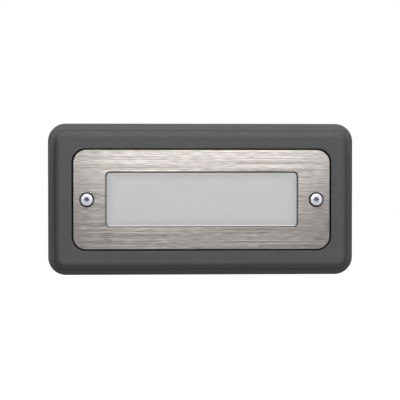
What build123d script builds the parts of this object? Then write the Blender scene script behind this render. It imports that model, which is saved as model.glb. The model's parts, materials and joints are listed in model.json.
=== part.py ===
"""Recessed step light: a stepped wall frame, a steel faceplate with a frosted lens, and a housing behind.

Millimetres. X runs to the right, Y into the wall and Z up. Y = 0 is the face of the wall and the origin is
the middle of the frame's back there. A level is a distance out from the wall's face, so a negative level
lies inside the wall.
"""

import os

from build123d import *

os.makedirs("parts", exist_ok=True)

# ---------------------------------------------------------------- driving dimensions

# Frame
frame_width = 230.0
frame_height = 114.0
frame_depth = 18.0
frame_corner = 13.4
frame_wall = 3.0
flange_thickness = 6.0
flange_slope_width = 6.4
flange_slope_rise = 3.2
flange_edge = 1.6
flange_margin = 5.8
body_edge = 4.6
lip_edge = 0.5
rib_thickness = 2.0
rib_level = 4.5
rib_pitch = 60.0
rib_row = 22.0
rib_seat = 0.5
wall_gasket_width = 4.0
wall_gasket_thickness = 2.0
ledge_thickness = 3.0

# Faceplate
plate_side_margin = 19.25
plate_height = 74.0
plate_thickness = 3.0
plate_corner = 9.5
plate_gap = 1.0
plate_edge = 0.3
plate_gasket_thickness = 1.0
window_side_margin = 24.0
window_height = 41.5
window_corner = 3.1

# Lens and what clamps it
lens_gap = 0.8
lens_corner = 2.7
lens_set_back = 0.4
lens_wall = 2.6
lens_edge = 0.5
lens_flange_margin = 4.0
lens_flange_thickness = 3.0
lens_gasket_thickness = 1.0
retainer_thickness = 1.5
retainer_overlap = 5.75
stud_radius = 1.5
stud_weld_radius = 2.25
stud_weld_thickness = 0.7
stud_length = 8.5
stud_end_margin = 21.5
stud_margin = 3.4
nut_across = 5.5
nut_thickness = 2.4

# Faceplate screws, captive in the faceplate
screw_side_margin = 10.15
screw_head_radius = 4.75
screw_head_height = 2.75
screw_head_edge = 1.4
screw_neck_radius = 2.0
screw_thread_radius = 2.5
screw_thread_length = 5.0
screw_travel = 6.0
screw_tip_edge = 0.4
recess_radius = 1.55
recess_lobe_radius = 0.45
recess_lobe_circle = 1.65
recess_depth = 1.7
counterbore_radius = 5.65
counterbore_depth = 2.2
screw_seal_radius = 5.4
screw_seal_thickness = 0.8
captive_washer_radius = 4.5
captive_washer_thickness = 0.8
insert_radius = 3.6
insert_length = 10.0
insert_set_back = 1.5

# Frame screws, under the faceplate
frame_screw_side_margin = 8.75
frame_screw_row = 24.0
frame_screw_radius = 2.0
frame_screw_length = 14.0
countersink_radius = 3.9
countersink_angle = 90.0

# Cross-recessed screw heads, as shares of the head's radius or height
head_round = 0.45
cross_span = 1.15
cross_slot = 0.22
cross_depth = 0.55

# Housing
housing_overhang = 1.75
housing_depth = 62.0
housing_wall = 3.0
housing_corner = 11.0
housing_back_edge = 6.0
housing_gasket_thickness = 1.0
insert_boss_radius = 6.5
frame_boss_radius = 4.5
ear_thickness = 3.0
ear_half_height = 9.0
ear_hole_radius = 2.2
screw_hole_spare = 2.0

# Gear tray and what it carries
tray_boss_height = 45.0
tray_thickness = 2.0
tray_screw_side_margin = 5.5
tray_screw_row = 26.5
tray_boss_radius = 4.5
tray_screw_radius = 2.0
tray_screw_length = 14.0
tray_screw_head = 4.0
tray_screw_head_height = 2.6
tray_rib_side_margin = 18.5
tray_rib_depth = 6.0
tray_rib_thickness = 1.5
pad_thickness = 0.5
board_side_margin = 7.5
board_height = 34.0
board_thickness = 1.6
led_size = 3.0
led_thickness = 0.6
led_window_radius = 1.2
led_window_thickness = 0.15
led_side_margin = 4.0
led_top_margin = 4.5
led_columns = 10
led_rows = 2
reflector_wall = 1.5
reflector_rear_side_margin = 12.0
reflector_rear_height = 18.0
reflector_foot_side_margin = 2.0
reflector_foot_height = 24.0
reflector_foot_thickness = 1.5
reflector_boss_radius = 3.2
reflector_boss_height = 6.5
board_screw_side_margin = 4.0
board_screw_row = 8.6
board_screw_radius = 1.5
board_screw_head = 2.75
board_screw_head_height = 2.0
board_screw_grip = 5.0
connector_width = 9.0
connector_height = 4.6
connector_thickness = 3.5
connector_key_width = 1.6
connector_key_height = 2.0
connector_key_depth = 0.8
lead_side_margin = 14.0
lead_pitch = 3.2
lead_radius = 0.8
grommet_row = 23.0
grommet_radius = 3.6
grommet_bore = 2.55
grommet_rim = 1.3
grommet_rim_thickness = 1.0

# Driver, on the tray's back
driver_side_margin = 31.5
driver_height = 34.0
driver_depth = 20.0
driver_wall = 1.5
driver_lead_share = 0.65
driver_foot_length = 8.0
driver_foot_height = 14.0
driver_foot_thickness = 2.5
driver_board_thickness = 1.6
driver_board_set_in = 4.0
transformer_width = 20.0
transformer_height = 17.0
transformer_depth = 12.0
capacitor_radius = 4.0
capacitor_length = 11.0
component_edge = 0.8

# Mains terminals and earth
terminal_pitch = 10.0
terminal_poles = 3
terminal_height = 18.0
terminal_depth = 13.0
terminal_pad_thickness = 5.0
terminal_pad_margin = 2.0
clamp_size = 5.0
clamp_length = 16.0
clamp_level_in_block = 5.5
clamp_bore = 1.6
clamp_screw_radius = 1.25
clamp_screw_head = 1.7
clamp_screw_head_height = 1.6
clamp_screw_slot = 0.5
clamp_screw_gap = 0.5
clamp_screw_row = 4.8
terminal_screw_radius = 1.4
terminal_screw_head = 2.3
terminal_screw_head_height = 1.6
terminal_block_edge = 0.6
earth_column = 40.0
earth_row = 18.0
earth_boss_radius = 4.5
earth_boss_height = 7.0
earth_screw_radius = 2.0
earth_screw_head = 3.5
earth_screw_head_height = 2.4
earth_ring_radius = 4.0
earth_ring_thickness = 0.8
earth_barrel_radius = 1.6
earth_barrel_length = 5.0
earth_barrel_gap = 1.6
wire_radius = 1.1
line_wire_rise = 11.0
line_wire_reach = 12.0
neutral_wire_rise = 15.0
neutral_wire_reach = 16.5
mains_wire_slant = 3.5
mains_lead_row = 6.0
led_lead_row = 5.0
led_lead_row_gap = 4.0
earth_wire_straight = 6.0
line_wire_bends = [4.8, 9.0, 5.0]
neutral_wire_bends = [6.5, 9.0, 6.5]
earth_wire_bends = [3.6, 5.0]
lead_bends = [3.5, 5.0, 2.6]

# Cable entries in the housing's back
entry_side_margin = 36.5
entry_thread_radius = 10.0
entry_across = 24.0
entry_washer_radius = 13.0
entry_washer_thickness = 1.5
entry_inner_reach = 5.0
locknut_thickness = 4.0
gland_hex_thickness = 6.0
gland_neck_radius = 9.2
gland_neck_length = 10.5
gland_bore = 6.2
gland_seat_radius = 7.5
gland_seal_length = 9.0
gland_cable_radius = 4.0
gland_nut_gap = 1.5
gland_nut_length = 13.5
gland_nut_wall = 2.5
gland_nut_edge = 1.5
plug_head_thickness = 4.0
plug_wall = 3.0
plug_slot_length = 16.0
plug_slot_width = 2.0
plug_edge = 0.8
plug_slot_depth = 1.5

# Clearances
running_clearance = 0.08
thread_clearance = 0.05
hole_clearance = 0.25
seat_clearance = 0.1
opening_clearance = 1.0
ear_clearance = 0.7
screw_pass_clearance = 0.7
reflector_clearance = 0.7

# ---------------------------------------------------------------- worked out from them

body_width = frame_width - 2 * flange_margin
body_height = frame_height - 2 * flange_margin
body_corner = frame_corner - flange_margin
hollow_width = body_width - 2 * frame_wall
hollow_height = body_height - 2 * frame_wall
hollow_corner = body_corner - frame_wall
plate_width = frame_width - 2 * plate_side_margin
window_width = plate_width - 2 * window_side_margin
screw_column = plate_width / 2 - screw_side_margin
frame_screw_column = plate_width / 2 - frame_screw_side_margin
recess_width = plate_width + 2 * plate_gap
recess_height = plate_height + 2 * plate_gap
recess_corner = plate_corner + plate_gap
core_width = recess_width + 2 * frame_wall
core_height = recess_height + 2 * frame_wall
core_corner = recess_corner + frame_wall
flange_rim = flange_thickness - flange_slope_rise
rib_length_x = (hollow_width - core_width + frame_wall) / 2 + rib_seat
rib_length_z = (hollow_height - core_height + frame_wall) / 2 + rib_seat

# Levels, from the front to the back
plate_level = frame_depth
plate_back = plate_level - plate_thickness
ledge_level = plate_back - plate_gasket_thickness
ledge_back = ledge_level - ledge_thickness
rim_level = ledge_back - housing_gasket_thickness
back_level = -housing_depth
floor_level = back_level + housing_wall

lens_width = window_width - 2 * lens_gap
lens_height = window_height - 2 * lens_gap
lens_flange_width = window_width + 2 * lens_flange_margin
lens_flange_height = window_height + 2 * lens_flange_margin
lens_flange_corner = window_corner + lens_flange_margin
lens_flange_level = plate_back - lens_gasket_thickness
lens_back = lens_flange_level - lens_flange_thickness
lens_level = plate_level - lens_set_back
pocket_width = lens_width - 2 * lens_wall
pocket_height = lens_height - 2 * lens_wall

retainer_width = lens_flange_width + 2 * (hole_clearance + retainer_thickness)
stud_column = retainer_width / 2 - stud_end_margin
stud_row = lens_flange_height / 2 + stud_margin
retainer_height = 2 * (stud_row + stud_weld_radius + hole_clearance + retainer_thickness)
retainer_corner = lens_flange_corner + retainer_thickness
retainer_back = lens_back - retainer_thickness
retainer_open_width = lens_flange_width - 2 * retainer_overlap
retainer_open_height = lens_flange_height - 2 * retainer_overlap

opening_width = retainer_width + 2 * opening_clearance
opening_height = retainer_height + 2 * opening_clearance
opening_corner = retainer_corner + opening_clearance

screw_seal_level = plate_level - counterbore_depth
screw_head_level = screw_seal_level + screw_seal_thickness
captive_washer_back = plate_back - captive_washer_thickness
screw_thread_level = captive_washer_back - screw_travel - seat_clearance
insert_level = rim_level - insert_set_back
screw_passage = screw_thread_radius + screw_pass_clearance

housing_width = recess_width + 2 * housing_overhang
housing_height = recess_height + 2 * housing_overhang
cavity_width = housing_width - 2 * housing_wall
cavity_height = housing_height - 2 * housing_wall
cavity_corner = housing_corner - housing_wall
entry_column = housing_width / 2 - entry_side_margin
ear_end = hollow_width / 2 - ear_clearance
ear_column = (housing_width / 2 + ear_end) / 2

tray_width = opening_width - 2 * opening_clearance
tray_height = opening_height - 2 * opening_clearance
tray_screw_column = tray_width / 2 - tray_screw_side_margin
tray_rib_length = tray_width - 2 * tray_rib_side_margin
tray_back = floor_level + tray_boss_height
tray_level = tray_back + tray_thickness
board_width = tray_width - 2 * board_side_margin
board_back = tray_level + pad_thickness
board_level = board_back + board_thickness
reflector_level = retainer_back - reflector_clearance
reflector_foot_width = board_width - 2 * reflector_foot_side_margin
reflector_rear_width = board_width - 2 * reflector_rear_side_margin
led_pitch = (reflector_rear_width - 2 * led_side_margin) / (led_columns - 1)
led_row_pitch = (reflector_rear_height - 2 * led_top_margin) / (led_rows - 1)
board_screw_column = reflector_foot_width / 2 - board_screw_side_margin
reflector_web_end = (reflector_rear_width + reflector_wall) / 2
lead_column = board_width / 2 - lead_side_margin
connector_row = board_height / 2 - connector_height / 2
connector_level = board_level + connector_thickness

driver_width = tray_width - 2 * driver_side_margin
driver_back = tray_back - driver_depth
driver_lead_level = tray_back - driver_lead_share * driver_depth
driver_foot_column = driver_width / 2 + driver_foot_length / 2
driver_board_level = driver_back + driver_board_set_in
driver_inner_width = driver_width - 2 * driver_wall - 2 * seat_clearance
driver_inner_height = driver_height - 2 * driver_wall - 2 * seat_clearance
lid_inner_width = driver_inner_width - 2 * driver_wall
lid_inner_height = driver_inner_height - 2 * driver_wall
# the transformer and three capacitors share the driver's length with even gaps
component_gap = (lid_inner_width - transformer_width - 6 * capacitor_radius) / 5
outer_capacitor_column = lid_inner_width / 2 - component_gap - capacitor_radius
inner_capacitor_column = -outer_capacitor_column + component_gap + 2 * capacitor_radius
transformer_column = inner_capacitor_column + capacitor_radius + component_gap + transformer_width / 2
capacitor_columns = (-outer_capacitor_column, inner_capacitor_column, outer_capacitor_column)

terminal_width = terminal_poles * terminal_pitch
terminal_back = floor_level + terminal_pad_thickness
terminal_level = terminal_back + terminal_depth
clamp_level = terminal_back + clamp_level_in_block
clamp_top = clamp_level + clamp_size / 2
pole_columns = [(i - (terminal_poles - 1) / 2) * terminal_pitch for i in range(terminal_poles)]
terminal_screw_columns = [x + terminal_pitch / 2 for x in pole_columns[:-1]]
clamp_screw_places = [(x, z) for x in pole_columns for z in (-clamp_screw_row, clamp_screw_row)]
clamp_screw_seat = clamp_top + clamp_screw_gap
earth_level = floor_level + earth_boss_height
earth_ring_level = earth_level + earth_ring_thickness
earth_barrel_end = earth_column - earth_ring_radius - earth_barrel_gap - earth_barrel_length

entry_washer_level = back_level - entry_washer_thickness
entry_inner_level = floor_level + entry_inner_reach
gland_hex_level = entry_washer_level - gland_hex_thickness
gland_end = gland_hex_level - gland_neck_length
gland_nut_level = gland_hex_level - gland_nut_gap
gland_nut_end = gland_nut_level - gland_nut_length
seal_level = gland_nut_end + gland_nut_wall + gland_seal_length

both_screws = [(-screw_column, 0), (screw_column, 0)]
both_entries = [(-entry_column, 0), (entry_column, 0)]
both_driver_feet = [(-driver_foot_column, 0), (driver_foot_column, 0)]


def corners(column, row):
    """The four corners of a rectangle of holes about the middle."""
    return [(x, z) for x in (-column, column) for z in (-row, row)]


def draw_screws(places, seat, facing, radius, length, head_radius, head_height):
    """Cross-recessed pan screws with their heads on a seat that faces the front (1) or the back (-1)."""
    with BuildPart() as screws:
        with BuildSketch(Plane.XZ.offset(seat)):
            with Locations(*places):
                Circle(head_radius)
        extrude(amount=facing * head_height)
        fillet(screws.faces().group_by(Axis.Y)[0 if facing > 0 else -1].edges(), head_round * head_height)
        with BuildSketch(Plane.XZ.offset(seat)):
            with Locations(*places):
                Circle(radius)
        extrude(amount=-facing * length)
        with BuildSketch(Plane.XZ.offset(seat + facing * head_height)):
            with Locations(*places):
                Rectangle(cross_span * head_radius, cross_slot * head_radius)
                Rectangle(cross_slot * head_radius, cross_span * head_radius)
        extrude(amount=-facing * cross_depth * head_height, mode=Mode.SUBTRACT)
    return screws


# ---------------------------------------------------------------- frame

with BuildPart() as frame_hollow:
    with BuildSketch(Plane.XZ):
        RectangleRounded(hollow_width, hollow_height, hollow_corner)
    extrude(amount=frame_depth - frame_wall)
    fillet(frame_hollow.faces().sort_by(Axis.Y)[0].edges(), body_edge - frame_wall)
    with BuildSketch(Plane.XZ.offset(ledge_back)):
        RectangleRounded(core_width, core_height, core_corner)
    extrude(amount=frame_depth, mode=Mode.SUBTRACT)

with BuildPart() as trim_frame:
    # low flange against the wall, sloping up to the body from a rounded rim
    with BuildSketch(Plane.XZ):
        RectangleRounded(frame_width, frame_height, frame_corner)
    extrude(amount=flange_thickness)
    flange_face = trim_frame.faces().sort_by(Axis.Y)[0]
    chamfer(flange_face.edges(), flange_slope_width, flange_slope_rise, reference=flange_face)
    rim_edges = trim_frame.edges().filter_by_position(
        Axis.Y, -flange_rim - seat_clearance, -flange_rim + seat_clearance
    )
    fillet(rim_edges, flange_edge)
    # raised body with a larger round
    with BuildSketch(Plane.XZ):
        RectangleRounded(body_width, body_height, body_corner)
    extrude(amount=frame_depth)
    fillet(trim_frame.faces().sort_by(Axis.Y)[0].edges(), body_edge)
    add(frame_hollow.part, mode=Mode.SUBTRACT)
    # ribs across the hollow
    with BuildSketch(Plane.XZ.offset(rib_level)):
        for side in (-1, 1):
            row = side * (core_height / 2 - rib_seat + rib_length_z / 2)
            column = side * (core_width / 2 - rib_seat + rib_length_x / 2)
            with Locations((-rib_pitch, row), (0, row), (rib_pitch, row)):
                Rectangle(rib_thickness, rib_length_z)
            with Locations((column, -rib_row), (column, rib_row)):
                Rectangle(rib_length_x, rib_thickness)
    extrude(amount=frame_depth - frame_wall - rib_level)
    # recess for the faceplate, with the ledge that it seats on
    with BuildSketch(Plane.XZ.offset(ledge_level)):
        RectangleRounded(recess_width, recess_height, recess_corner)
    extrude(amount=frame_depth - ledge_level, mode=Mode.SUBTRACT)
    fillet(trim_frame.faces().sort_by(Axis.Y)[0].inner_wires()[0].edges(), lip_edge)
    with BuildSketch(Plane.XZ):
        RectangleRounded(opening_width, opening_height, opening_corner)
    extrude(amount=frame_depth, mode=Mode.SUBTRACT)
    with BuildSketch(Plane.XZ):
        with Locations(*both_screws):
            Circle(screw_passage)
    extrude(amount=frame_depth, mode=Mode.SUBTRACT)
    with Locations(Plane.XZ.offset(ledge_level)):
        with Locations(*corners(frame_screw_column, frame_screw_row)):
            CounterSinkHole(
                frame_screw_radius + hole_clearance,
                countersink_radius + seat_clearance,
                counter_sink_angle=countersink_angle,
            )
    # groove for the wall gasket, midway across the flange
    with BuildSketch(Plane.XZ):
        RectangleRounded(
            (frame_width + hollow_width + wall_gasket_width * 2) / 2,
            (frame_height + hollow_height + wall_gasket_width * 2) / 2,
            (frame_corner + hollow_corner + wall_gasket_width) / 2,
        )
        RectangleRounded(
            (frame_width + hollow_width - wall_gasket_width * 2) / 2,
            (frame_height + hollow_height - wall_gasket_width * 2) / 2,
            (frame_corner + hollow_corner - wall_gasket_width) / 2,
            mode=Mode.SUBTRACT,
        )
    extrude(amount=wall_gasket_thickness, mode=Mode.SUBTRACT)
trim_frame.part.label = "trim_frame"
export_step(trim_frame.part, "parts/trim_frame.step")

with BuildPart() as wall_gasket:
    with BuildSketch(Plane.XZ):
        RectangleRounded(
            (frame_width + hollow_width) / 2 + wall_gasket_width - 2 * seat_clearance,
            (frame_height + hollow_height) / 2 + wall_gasket_width - 2 * seat_clearance,
            (frame_corner + hollow_corner + wall_gasket_width) / 2 - seat_clearance,
        )
        RectangleRounded(
            (frame_width + hollow_width) / 2 - wall_gasket_width + 2 * seat_clearance,
            (frame_height + hollow_height) / 2 - wall_gasket_width + 2 * seat_clearance,
            (frame_corner + hollow_corner - wall_gasket_width) / 2 + seat_clearance,
            mode=Mode.SUBTRACT,
        )
    extrude(amount=wall_gasket_thickness)
wall_gasket.part.label = "wall_gasket"
export_step(wall_gasket.part, "parts/wall_gasket.step")

with BuildPart() as frame_screws:
    with BuildSketch(Plane.XZ.offset(ledge_level)):
        with Locations(*corners(frame_screw_column, frame_screw_row)):
            Circle(countersink_radius)
    extrude(amount=-(countersink_radius - frame_screw_radius), taper=countersink_angle / 2)
    with BuildSketch(Plane.XZ.offset(ledge_level)):
        with Locations(*corners(frame_screw_column, frame_screw_row)):
            Circle(frame_screw_radius)
    extrude(amount=-frame_screw_length)
    with BuildSketch(Plane.XZ.offset(ledge_level)):
        with Locations(*corners(frame_screw_column, frame_screw_row)):
            Rectangle(cross_span * countersink_radius, cross_slot * countersink_radius)
            Rectangle(cross_slot * countersink_radius, cross_span * countersink_radius)
    extrude(amount=-cross_depth * countersink_radius / 2, mode=Mode.SUBTRACT)
frame_screws.part.label = "frame_screws"
export_step(frame_screws.part, "parts/frame_screws.step")

# ---------------------------------------------------------------- faceplate

with BuildPart() as faceplate:
    with BuildSketch(Plane.XZ.offset(plate_back)):
        RectangleRounded(plate_width, plate_height, plate_corner)
        RectangleRounded(window_width, window_height, window_corner, mode=Mode.SUBTRACT)
    extrude(amount=plate_thickness)
    chamfer(faceplate.faces().sort_by(Axis.Y)[0].edges(), plate_edge)
    with BuildSketch(Plane.XZ.offset(plate_back)):
        with Locations(*both_screws):
            Circle(screw_thread_radius + hole_clearance)
    extrude(amount=plate_thickness, mode=Mode.SUBTRACT)
    with BuildSketch(Plane.XZ.offset(screw_seal_level)):
        with Locations(*both_screws):
            Circle(counterbore_radius)
    extrude(amount=counterbore_depth, mode=Mode.SUBTRACT)
faceplate.part.label = "faceplate"
export_step(faceplate.part, "parts/faceplate.step")

with BuildPart() as faceplate_gasket:
    with BuildSketch(Plane.XZ.offset(ledge_level)):
        RectangleRounded(plate_width, plate_height, plate_corner)
        RectangleRounded(opening_width, opening_height, opening_corner, mode=Mode.SUBTRACT)
        with Locations(*both_screws):
            Circle(captive_washer_radius + opening_clearance / 2, mode=Mode.SUBTRACT)
    extrude(amount=plate_gasket_thickness)
faceplate_gasket.part.label = "faceplate_gasket"
export_step(faceplate_gasket.part, "parts/faceplate_gasket.step")

with BuildPart() as lens:
    with BuildSketch(Plane.XZ.offset(lens_back)):
        RectangleRounded(lens_flange_width, lens_flange_height, lens_flange_corner)
    extrude(amount=lens_flange_thickness)
    with BuildSketch(Plane.XZ.offset(lens_back)):
        RectangleRounded(lens_width, lens_height, lens_corner)
    extrude(amount=lens_level - lens_back)
    fillet(lens.faces().sort_by(Axis.Y)[0].edges(), lens_edge)
    with BuildSketch(Plane.XZ.offset(lens_back)):
        RectangleRounded(pocket_width, pocket_height, lens_corner)
    extrude(amount=lens_level - lens_wall - lens_back, mode=Mode.SUBTRACT)
lens.part.label = "lens"
export_step(lens.part, "parts/lens.step")

with BuildPart() as lens_gasket:
    with BuildSketch(Plane.XZ.offset(lens_flange_level)):
        RectangleRounded(lens_flange_width, lens_flange_height, lens_flange_corner)
        RectangleRounded(window_width, window_height, window_corner, mode=Mode.SUBTRACT)
    extrude(amount=lens_gasket_thickness)
lens_gasket.part.label = "lens_gasket"
export_step(lens_gasket.part, "parts/lens_gasket.step")

with BuildPart() as lens_retainer:
    with BuildSketch(Plane.XZ.offset(retainer_back)):
        RectangleRounded(retainer_width, retainer_height, retainer_corner)
        RectangleRounded(retainer_open_width, retainer_open_height, window_corner, mode=Mode.SUBTRACT)
        with GridLocations(stud_column, 2 * stud_row, 3, 2):
            Circle(stud_radius + hole_clearance, mode=Mode.SUBTRACT)
    extrude(amount=retainer_thickness)
    # lip turned forward all round, up to the faceplate
    with BuildSketch(Plane.XZ.offset(retainer_back)):
        RectangleRounded(retainer_width, retainer_height, retainer_corner)
        RectangleRounded(
            retainer_width - 2 * retainer_thickness,
            retainer_height - 2 * retainer_thickness,
            retainer_corner - retainer_thickness,
            mode=Mode.SUBTRACT,
        )
    extrude(amount=plate_back - retainer_back)
lens_retainer.part.label = "lens_retainer"
export_step(lens_retainer.part, "parts/lens_retainer.step")

with BuildPart() as retainer_studs:
    with BuildSketch(Plane.XZ.offset(plate_back)):
        with GridLocations(stud_column, 2 * stud_row, 3, 2):
            Circle(stud_radius)
    extrude(amount=-stud_length)
    with BuildSketch(Plane.XZ.offset(plate_back)):
        with GridLocations(stud_column, 2 * stud_row, 3, 2):
            Circle(stud_weld_radius)
    extrude(amount=-stud_weld_thickness)
retainer_studs.part.label = "retainer_studs"
export_step(retainer_studs.part, "parts/retainer_studs.step")

with BuildPart() as retainer_nuts:
    with BuildSketch(Plane.XZ.offset(retainer_back)):
        with GridLocations(stud_column, 2 * stud_row, 3, 2):
            RegularPolygon(nut_across / 2, 6, major_radius=False)
            Circle(stud_radius + thread_clearance, mode=Mode.SUBTRACT)
    extrude(amount=-nut_thickness)
retainer_nuts.part.label = "retainer_nuts"
export_step(retainer_nuts.part, "parts/retainer_nuts.step")

# ---------------------------------------------------------------- faceplate screws


def six_lobed_recess(x):
    """The outline of the driver's socket in one screw head."""
    with Locations((x, 0)):
        Circle(recess_radius)
        with PolarLocations(recess_lobe_circle, 6):
            Circle(recess_lobe_radius)


def draw_screw(x):
    """One captive screw: rounded head, slim neck and a short thread at its end."""
    with BuildPart() as screw:
        with BuildSketch(Plane.XZ.offset(screw_head_level)):
            with Locations((x, 0)):
                Circle(screw_head_radius)
        extrude(amount=screw_head_height)
        fillet(screw.faces().sort_by(Axis.Y)[0].edges(), screw_head_edge)
        with BuildSketch(Plane.XZ.offset(screw_head_level + screw_head_height)):
            six_lobed_recess(x)
        extrude(amount=-recess_depth, mode=Mode.SUBTRACT)
        with BuildSketch(Plane.XZ.offset(screw_head_level)):
            with Locations((x, 0)):
                Circle(screw_neck_radius)
        extrude(amount=screw_thread_level - screw_head_level)
        with BuildSketch(Plane.XZ.offset(screw_thread_level)):
            with Locations((x, 0)):
                Circle(screw_thread_radius)
        extrude(amount=-screw_thread_length)
        chamfer(screw.faces().sort_by(Axis.Y)[-1].edges(), screw_tip_edge)
    return screw


faceplate_screw_left = draw_screw(-screw_column)
faceplate_screw_left.part.label = "faceplate_screw_left"
export_step(faceplate_screw_left.part, "parts/faceplate_screw_left.step")

faceplate_screw_right = draw_screw(screw_column)
faceplate_screw_right.part.label = "faceplate_screw_right"
export_step(faceplate_screw_right.part, "parts/faceplate_screw_right.step")


def draw_screw_seal(x):
    """The soft ring under one screw's head."""
    with BuildPart() as seal:
        with BuildSketch(Plane.XZ.offset(screw_seal_level)):
            with Locations((x, 0)):
                Circle(screw_seal_radius)
                Circle(screw_neck_radius + running_clearance, mode=Mode.SUBTRACT)
        extrude(amount=screw_seal_thickness)
    return seal


screw_seal_left = draw_screw_seal(-screw_column)
screw_seal_left.part.label = "screw_seal_left"
export_step(screw_seal_left.part, "parts/screw_seal_left.step")

screw_seal_right = draw_screw_seal(screw_column)
screw_seal_right.part.label = "screw_seal_right"
export_step(screw_seal_right.part, "parts/screw_seal_right.step")

with BuildPart() as captive_washers:
    with BuildSketch(Plane.XZ.offset(captive_washer_back)):
        with Locations(*both_screws):
            Circle(captive_washer_radius)
            Circle(screw_neck_radius + running_clearance, mode=Mode.SUBTRACT)
    extrude(amount=captive_washer_thickness)
captive_washers.part.label = "captive_washers"
export_step(captive_washers.part, "parts/captive_washers.step")

with BuildPart() as threaded_inserts:
    with BuildSketch(Plane.XZ.offset(insert_level)):
        with Locations(*both_screws):
            Circle(insert_radius)
            Circle(screw_thread_radius + running_clearance, mode=Mode.SUBTRACT)
    extrude(amount=-insert_length)
threaded_inserts.part.label = "threaded_inserts"
export_step(threaded_inserts.part, "parts/threaded_inserts.step")

# ---------------------------------------------------------------- housing


def draw_rim_bosses():
    """The bosses that rise to the housing's rim, each with a web to the side wall."""
    side = (cavity_width + housing_wall) / 2
    for sign in (-1, 1):
        with Locations((sign * screw_column, 0)):
            Circle(insert_boss_radius)
        with Locations((sign * (screw_column + side) / 2, 0)):
            Rectangle(side - screw_column, 2 * insert_boss_radius)
        for row in (-frame_screw_row, frame_screw_row):
            with Locations((sign * frame_screw_column, row)):
                Circle(frame_boss_radius)
            with Locations((sign * (frame_screw_column + side) / 2, row)):
                Rectangle(side - frame_screw_column, 2 * frame_boss_radius)


with BuildPart() as housing:
    with BuildSketch(Plane.XZ.offset(back_level)):
        RectangleRounded(housing_width, housing_height, housing_corner)
    extrude(amount=rim_level - back_level)
    fillet(housing.faces().sort_by(Axis.Y)[-1].edges(), housing_back_edge)
    with BuildSketch(Plane.XZ.offset(floor_level)):
        RectangleRounded(cavity_width, cavity_height, cavity_corner)
    extrude(amount=rim_level - floor_level, mode=Mode.SUBTRACT)
    with BuildSketch(Plane.XZ.offset(floor_level)):
        draw_rim_bosses()
    extrude(amount=rim_level - floor_level)
    with BuildSketch(Plane.XZ.offset(floor_level)):
        with Locations(*corners(tray_screw_column, tray_screw_row)):
            Circle(tray_boss_radius)
    extrude(amount=tray_boss_height)
    with BuildSketch(Plane.XZ.offset(floor_level)):
        Rectangle(terminal_width + 2 * terminal_pad_margin, terminal_height + 2 * terminal_pad_margin)
    extrude(amount=terminal_pad_thickness)
    with BuildSketch(Plane.XZ.offset(floor_level)):
        with Locations((earth_column, earth_row)):
            Circle(earth_boss_radius)
    extrude(amount=earth_boss_height)
    # ears at the sides, which lie on the wall
    with BuildSketch(Plane.XZ):
        for side in (-1, 1):
            with Locations((side * (ear_end + housing_width / 2 - housing_wall) / 2, 0)):
                Rectangle(ear_end - housing_width / 2 + housing_wall, 2 * ear_half_height)
    extrude(amount=ear_thickness)
    with BuildSketch(Plane.XZ.offset(insert_level)):
        with Locations(*both_screws):
            Circle(insert_radius + seat_clearance)
    extrude(amount=-insert_length, mode=Mode.SUBTRACT)
    with BuildSketch(Plane.XZ.offset(rim_level)):
        with Locations(*both_screws):
            Circle(insert_radius + seat_clearance)
    extrude(amount=-insert_set_back, mode=Mode.SUBTRACT)
    with BuildSketch(Plane.XZ.offset(rim_level)):
        with Locations(*corners(frame_screw_column, frame_screw_row)):
            Circle(frame_screw_radius + thread_clearance)
    extrude(amount=-(frame_screw_length - ledge_thickness + screw_hole_spare), mode=Mode.SUBTRACT)
    with BuildSketch(Plane.XZ.offset(tray_back)):
        with Locations(*corners(tray_screw_column, tray_screw_row)):
            Circle(tray_screw_radius + thread_clearance)
    extrude(amount=-(tray_screw_length - tray_thickness + screw_hole_spare), mode=Mode.SUBTRACT)
    with BuildSketch(Plane.XZ.offset(terminal_back)):
        with Locations(*[(x, 0) for x in terminal_screw_columns]):
            Circle(terminal_screw_radius + thread_clearance)
    extrude(amount=-terminal_pad_thickness, mode=Mode.SUBTRACT)
    with BuildSketch(Plane.XZ.offset(earth_level)):
        with Locations((earth_column, earth_row)):
            Circle(earth_screw_radius + thread_clearance)
    extrude(amount=-earth_boss_height, mode=Mode.SUBTRACT)
    with BuildSketch(Plane.XZ):
        with Locations((-ear_column, 0), (ear_column, 0)):
            Circle(ear_hole_radius)
    extrude(amount=ear_thickness, mode=Mode.SUBTRACT)
    with BuildSketch(Plane.XZ.offset(back_level)):
        with Locations(*both_entries):
            Circle(entry_thread_radius + hole_clearance)
    extrude(amount=housing_wall, mode=Mode.SUBTRACT)
housing.part.label = "housing"
export_step(housing.part, "parts/housing.step")

with BuildPart() as housing_gasket:
    with BuildSketch(Plane.XZ.offset(rim_level)):
        RectangleRounded(housing_width, housing_height, housing_corner)
        RectangleRounded(cavity_width, cavity_height, cavity_corner, mode=Mode.SUBTRACT)
        draw_rim_bosses()
        with Locations(*both_screws):
            Circle(screw_passage, mode=Mode.SUBTRACT)
        with Locations(*corners(frame_screw_column, frame_screw_row)):
            Circle(frame_screw_radius + hole_clearance, mode=Mode.SUBTRACT)
    extrude(amount=housing_gasket_thickness)
housing_gasket.part.label = "housing_gasket"
export_step(housing_gasket.part, "parts/housing_gasket.step")

# ---------------------------------------------------------------- gear tray

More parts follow.
